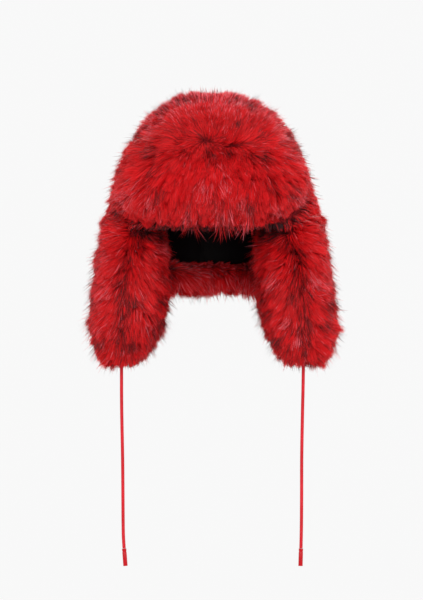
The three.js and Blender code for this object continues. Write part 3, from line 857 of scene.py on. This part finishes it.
print("share of dark guard hairs:", DARK_GUARDS)

# %% [markdown]
# ## The hair's material
# Acrylic fibre is spun from dyed polymer and brushed: each hair has a broad soft glint, and the pile no
# shine. One material serves every hair. Three ramps across the map give each kind its colour at the root,
# the body and the tip, and two smooth steps up the map blend them. The root is the darkest, as little light
# gets there.

# %% Acrylic hair
acrylic_hair, tree = new_material("acrylic_fur_hair")
chart = add_node(tree, "UVMap", {"uv_map": "OFBake"})
split = add_node(tree, "SeparateXYZ", inputs={"Vector": chart.outputs["UV"]})
HAIR_COLOURS = [
    # place on the map, root, body and tip: two stops of painted shade, then wine, red, bright, pale and dark
    (0.0, "200204", "2C0306", "340408"), (0.016, "200204", "2C0306", "340408"),
    (0.027, "780508", "9E080C", "A8080D"), (0.18, "96070A", "B8090E", "C20A10"),
    (0.50, "A2070B", "C80B10", "D00F15"), (0.69, "AA090D", "D40F14", "DC181E"),
    (0.72, "A00A10", "D02C35", "D64C56"), (0.81, "A00A10", "CE4A54", "DA7882"),
    (0.85, "5A070A", "8A0A0F", "300609"), (1.0, "4A0508", "6A090E", "160305")]
root, body, tip_end = (
    add_node(tree, "ValToRGB", inputs={"Fac": split.outputs["X"]},
             stops=[(colours[0], colours[i]) for colours in HAIR_COLOURS]) for i in (1, 2, 3))
rise = add_node(tree, "MapRange", {"interpolation_type": "SMOOTHSTEP"},
                {"Value": split.outputs["Y"], "From Min": 0.05, "From Max": 0.55})
lower = add_node(tree, "Mix", {"data_type": "RGBA"},
                 {0: rise.outputs["Result"], 6: root.outputs["Color"], 7: body.outputs["Color"]})
point_off = add_node(tree, "MapRange", {"interpolation_type": "SMOOTHSTEP"},
                     {"Value": split.outputs["Y"], "From Min": 0.5, "From Max": 0.95})
whole = add_node(tree, "Mix", {"data_type": "RGBA"},
                 {0: point_off.outputs["Result"], 6: lower.outputs[2], 7: tip_end.outputs["Color"]})
surface_of(tree, {
    "Base Color": whole.outputs[2], "Roughness": 0.5, "Specular IOR Level": 0.14,
    "Sheen Weight": 0.04, "Sheen Roughness": 0.4, "Sheen Tint": linear("FFC8CC")})
print(acrylic_hair.name, "has", len(HAIR_COLOURS), "stops a ramp")


# %% [markdown]
# ## The way the fur lies
# On the front flap the pile parts at a whorl in the middle and lies away from it to all sides. On the crown
# it lies back from the front and down. The ear flaps have a parting down the front, where their edge is
# sewn, and from it the pile sweeps out and down to both sides. On the nape flap it hangs. A combing rule
# tells, at each point of a pelt: the way the hair lies, its lean at root and tip in degrees, its length
# beside the part's own, how far it clings to its lock, how far the guard hairs reach, and how much of the
# hair is deeper red, dark at the tip, or rosy. In places these three are painted shade and painted light,
# as the comments in each rule tell.

# %% The front flap's rule
WHORL_ENDS = (-0.020, 0.036)
WHORL_Z, WHORL_SLOPE, WHORL_WAVE = -0.030, 0.20, 0.003
WISPS = [-0.023, 0.008, 0.016, 0.039]
WISP_WIDTH = 0.004
ROW_STEP = 0.010


def half_width_at(pelt, heights):
    """How far a pelt reaches sideways from the middle at each height."""
    places = points_and_normals(pelt.data)[0]
    rows = np.arange(places[:, 2].min(), places[:, 2].max() + ROW_STEP, ROW_STEP)
    reach = [np.abs(places[np.abs(places[:, 2] - row) < ROW_STEP, 0]).max() for row in rows]
    return np.interp(heights, rows, reach)


def comb_front_flap(points, normals):
    """Away from the whorl, which is a short wavy line. The pile is shorter on the rim and at the corners, and
    a few wisps hang well below the lower edge."""
    x, y, z = points.T
    along = np.clip(x, *WHORL_ENDS)
    rise = z - WHORL_Z + WHORL_SLOPE * along + WHORL_WAVE * np.sin(x / 0.006)
    way = np.stack([x - along, 0.5 * (y + 0.130), rise], 1)
    calm = held(np.linalg.norm(way, axis=1) / 0.042)
    astray = 0.8 * (1 - calm)
    way = unit(way)
    way[:, 0] += astray * drift(points, 0.016, 41) + 0.28 * drift(points, 0.032, 43)
    way[:, 2] += astray * drift(points, 0.016, 42) + 0.20 * drift(points, 0.032, 44) - 0.2
    top = held((z + 0.020) / 0.025)
    low = held((-z - 0.080) / 0.025)
    rim = held((np.abs(x) / half_width_at(pelts["front_flap"], z) - 0.75) / 0.25)
    notch = np.exp(-(x / 0.005) ** 2) * low
    corner = 0.75 * corner_share(points)
    short = np.maximum(np.maximum(0.50 * top, 0.42 * low), np.maximum(0.34 * rim, corner)) + 0.15 * notch
    above = held((z + 0.034) / 0.02)
    highlit_crest = held((z - 0.001) / 0.012)
    wisp = sum(np.exp(-((x - place) / WISP_WIDTH) ** 2) for place in WISPS) * low
    # Painted shade: more wine red hair towards the top, to tone down the light that the top catches, and
    # along the lower edge, where the flap curves under. Painted highlight: rosier hair on the crest.
    return dict(
        way=way, lean_root=26 + 12 * calm, lean_tip=52 + 20 * calm - 14 * above * calm,
        longer=(0.68 + 0.32 * calm) * (1 - short), cling=(0.15 + 0.85 * calm) * (1 - 0.8 * above),
        reach=1 + 0.8 * wisp, deeper_red_and_shade=0.02 + 0.48 * above + 0.42 * low + 0.25 * (1 - calm),
        dark_tips_and_shade=0.10 * (1 - calm), rosy_and_painted_light=0.18 * highlit_crest + 0.3 * wisp)


print(len(WISPS), "wisps under the front flap")

# %% The crown's rule
FRONT_TOP = np.array([0, -0.110, 0.055])


def comb_crown(points, normals):
    """Back and down from the front, rather upright on top, and lying well over the seam of the flaps at the
    hem. Where the front flap covers the hem the pile is tucked in and short."""
    x, y, z = points.T
    back = held((y - 0.025) / 0.04)
    steep = np.maximum(held(-z / 0.1), back)
    hem = held((-z - 0.085) / 0.03)
    tucked = held(-y / 0.05) * held((0.100 - np.abs(x)) / 0.01) * hem
    top = held((z + 0.045) / 0.065)
    loose = top * held(y / 0.03)
    # Partly a painted highlight: towards the top the hair turns rosier, as pale pink hair and as the glow of
    # the light above.
    return dict(
        way=points - FRONT_TOP, lean_root=16 + 16 * steep + 8 * back,
        lean_tip=42 + 22 * steep + 4 * hem + 8 * back,
        longer=1 + 0.1 * steep + 0.15 * hem * back - 0.5 * tucked,
        cling=(0.7 + 0.2 * steep) * (1 - 0.6 * loose), reach=1 - 0.15 * hem,
        deeper_red_and_shade=0, dark_tips_and_shade=0, rosy_and_painted_light=0.03 + 0.47 * top)


print("the crown is combed from", FRONT_TOP.tolist())

# %% The ear flaps' rule
# How far out the parting is at some depths, and how strongly the hair sweeps from it to the inner side.
PARTING_DEPTHS = [0.13, 0.15, 0.185, 0.23]
PARTING_OUT = [0.085, 0.093, 0.099, 0.102]
LEFT_SWEEP, RIGHT_SWEEP = 0.35, 0.75


def comb_ear_flap(points, normals):
    """Down and to both sides of a parting on the front edge, which runs a little further out towards the tip.
    The left flap's inner side and both flaps' rounded tips are shorter. A dark line marks the seam."""
    x, y, z = points.T
    left = x < 0
    side = np.sign(x)
    outward = side * x - np.interp(-z, PARTING_DEPTHS, PARTING_OUT)
    inner_sweep = np.where(left, LEFT_SWEEP, RIGHT_SWEEP)
    over = np.where(outward > 0, held(outward / 0.012), np.clip(outward / 0.015, -1, 0) * inner_sweep)
    front = held(-y / 0.05)
    low = held((-z - 0.2) / 0.06)
    upper = held((z + 0.150) / 0.02)
    near = np.exp(-(outward / 0.010) ** 2) * front * (1 - low)
    inner = held(-side * normals[:, 0] * 1.3)
    outer = held(side * normals[:, 0] * 1.3 - 0.3)
    under = upper * (1 - outer)
    tip = low * (1 - np.abs(over))
    sideways = side * over * (0.3 + 0.7 * front) * (1 + 0.4 * low)
    shorter = np.where(left, 0.26 * (1 - held((-z - 0.165) / 0.02)), 0.04)
    longer = 1 - shorter * inner - 0.12 * outer * (1 - low) - 0.18 * outer * upper - 0.24 * tip
    seam_line = np.exp(-(outward / 0.003) ** 2) * front * (z > -0.255)
    # Painted shade: the inner side at the front is more wine red and dark at the tip. Painted light: the
    # outer side is rosier, where the light wraps round the edge.
    return dict(
        way=np.stack([sideways, np.full(len(points), 0.3), 0.7 * under - 1], 1),
        lean_root=34 + 2 * low - 14 * near - 16 * under - 4 * inner,
        lean_tip=68 - 12 * low - 14 * near - 20 * under - 8 * inner,
        longer=longer + np.where(left, 0.06, 0.15) * low * outer,
        cling=(1 - 0.4 * near) * (1 - 0.4 * outer), reach=1, deeper_red_and_shade=0.14 * inner * front + 0.18 * near,
        dark_tips_and_shade=np.maximum(0.62 * seam_line, 0.10 * inner * front), rosy_and_painted_light=0.012 + 0.08 * outer)


print("the parting runs from", PARTING_OUT[0], "to", PARTING_OUT[-1], "m out")


# %% The nape flap's rule
def comb_nape(points, normals):
    """Down with a swirl sideways. On the inside the top of it stands over the hem of the lining."""
    x, y, z = points.T
    inward = held(-2 * (x * normals[:, 0] + y * normals[:, 1]) / np.hypot(x, y))
    middle = held((0.070 - np.abs(x)) / 0.012) * inward
    side = inward * held((np.abs(x) - 0.040) / 0.02)
    rim = middle * held((z + 0.176) / 0.006)
    low = held((-z - 0.165) / 0.01)
    swirl = 1.3 * drift(points, 0.045, 5)
    downward = 1.5 * rim - 1 + 0.3 * middle * swirl
    # Painted shade: the top rim over the lining and the ends of the inner face are dark at the tip. Painted
    # light: the inner face is rosier, and the whole flap less wine red, to lift the shade it hangs in.
    return dict(
        way=np.stack([0.6 * swirl + 0.5 * middle, np.zeros(len(points)), downward], 1),
        lean_root=30 + 4 * rim, lean_tip=60 - 10 * rim, longer=1 + 0.25 * low - 0.35 * rim,
        cling=1 - 0.3 * middle, reach=1, deeper_red_and_shade=-0.12, dark_tips_and_shade=np.maximum(0.6 * rim, 0.1 * side),
        rosy_and_painted_light=0.02 + 0.18 * inward)


print("four combing rules are ready")

# %% [markdown]
# ## Growing the coats
# A coat starts with roots, spread evenly over the open side of its pelt, and with far fewer roots for locks.
# Each hair and each lock gets a path by the combing rule. Then every hair is pulled towards the path of its
# lock, most at the tip, so that a lock closes to a point. Each lock has a turn, a lean, a length and a mood
# of its own. A few long guard hairs stay loose, as on real fur.

# %% Growing a coat
HAIR_REACH = 0.014
SAG = 0.25
FLOW_SWAY, LOCK_TURN, HAIR_TURN = np.radians(16), np.radians(11), np.radians(9)
LOCK_TILT, HAIR_TILT, GUARD_LIFT = 4.5, 5, 16
STIR = 0.0005
PAINTED_SHADE_AT_MOST = 0.85
RINGS = np.array(BLADE_RINGS)


def grow_coat(node, comb, seed, count, lock_spacing, length, width, guard_share, gather):
    """Grows, gathers and colours the pile of one part, as one piece."""
    chance = np.random.default_rng(seed)
    tree = others_than(node)
    roots, normals, area = roots_on(pelts[node], count, chance, tree, HAIR_REACH)
    locks = int(area / lock_spacing ** 2)
    lock_roots, lock_normals, _ = roots_on(pelts[node], locks, chance, tree, HAIR_REACH)
    lock_turn = LOCK_TURN * chance.normal(size=locks)
    lock_mood = chance.normal(size=locks) * 0.5 + drift(lock_roots, 0.05, seed + 2) * 0.5
    lock_length = 1 + 0.08 * chance.normal(size=locks)
    lock_tilt = LOCK_TILT * chance.normal(size=locks)

    def lay(points, facing, rule, turn, tilt, size):
        flow = unit(rule["way"] - facing * (rule["way"] * facing).sum(1, keepdims=True))
        turn = turn + FLOW_SWAY * drift(points, 0.06, seed + 7)
        flow = flow * np.cos(turn)[:, None] + np.cross(facing, flow) * np.sin(turn)[:, None]
        lean = (rule["lean_root"] + tilt, rule["lean_tip"] + tilt)
        return paths_of(points, facing, flow, lean, size * rule["longer"], SAG)

    belong = nearest_lock(roots, normals, lock_roots, lock_normals)
    rule = comb(roots, normals)
    reach = rule["reach"]
    guard = chance.random(count) < guard_share * (9 * reach - 8)
    guard_size = reach * chance.uniform(1.1, 1.4, count)
    size = length * np.where(guard, guard_size, lock_length[belong] * chance.uniform(0.86, 1.02, count))
    stray = np.where(guard, 2.5 - 2 * held(reach - 1), 1)
    turn = lock_turn[belong] + HAIR_TURN * chance.normal(size=count) * stray
    tilt = lock_tilt[belong] + HAIR_TILT * chance.normal(size=count) - np.where(guard, GUARD_LIFT, 0)
    paths = lay(roots, normals, rule, turn, tilt, size)
    lock_rule = comb(lock_roots, lock_normals)
    lock_paths = lay(lock_roots, lock_normals, lock_rule, lock_turn, lock_tilt, length * lock_length)

    pull = np.where(guard, 0.1, gather * rule["cling"] * chance.uniform(0.75, 1.0, count))
    hold = (pull[:, None] * RINGS[None] ** 1.2)[:, :, None]
    paths = paths * (1 - hold) + lock_paths[belong] * hold
    paths = paths + STIR * RINGS[None, :, None] * chance.normal(size=paths.shape)
    thick = width * np.where(guard, 0.95, 1.0) * chance.uniform(0.75, 1.2, count)
    roll = np.radians(40) * chance.uniform(-1, 1, count)

    shows = 0.4 * paths[:, 1] + 0.6 * paths[:, 2]
    # Painted shade: hair that shows under the front flap, and on the crown behind its top edge, is near
    # black.
    shaded = np.zeros(count) if node == "front_flap" else PAINTED_SHADE_AT_MOST * beside_line(shows, SHADOW_UNDER_FLAP)
    if node == "crown_fur":
        shaded = np.maximum(shaded, beside_line(shows, SHADE_BEHIND_FLAP))
    kind = kinds_for(shows, np.clip(lock_mood[belong], -1, 1), guard, rule, shaded, chance)
    coat = blades_along(node + "_pile", paths, normals, thick, roll, kind)
    finish_with(coat, acrylic_hair)
    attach(coat, "root")
    triangles = count * sum(len(face) - 2 for face in BLADE_FACES)
    print(coat.name, count, "hairs in", locks, "locks on", round(area * 1e4), "cm2,", triangles, "triangles")


print("hair sags by", SAG, "at its tip")

# %% Coats
COATS = [
    # node, comb, seed, hairs, lock spacing, length, width, share of guard hairs, gather
    ("crown_fur", comb_crown, 11, 99000, 0.0058, 0.0185, 0.00074, 0.020, 0.64),
    ("front_flap", comb_front_flap, 12, 99000, 0.0056, 0.0270, 0.00070, 0.010, 0.58),
    ("ear_flap_left", comb_ear_flap, 13, 87000, 0.0060, 0.0255, 0.00072, 0.018, 0.62),
    ("ear_flap_right", comb_ear_flap, 14, 87000, 0.0060, 0.0255, 0.00072, 0.018, 0.62),
    ("nape_flap", comb_nape, 15, 66000, 0.0048, 0.0215, 0.00076, 0.014, 0.55)]
for settings in COATS:
    grow_coat(*settings)

# %% [markdown]
# ## Padded pieces
# The flaps are sewn pads, each listed with how full it is.

# %% Padded pieces
for node, fill in [("front_flap", 0.5), ("ear_flap_left", 0.4), ("ear_flap_right", 0.4), ("nape_flap", 0.5)]:
    print(node, "is padded, fill", fill)
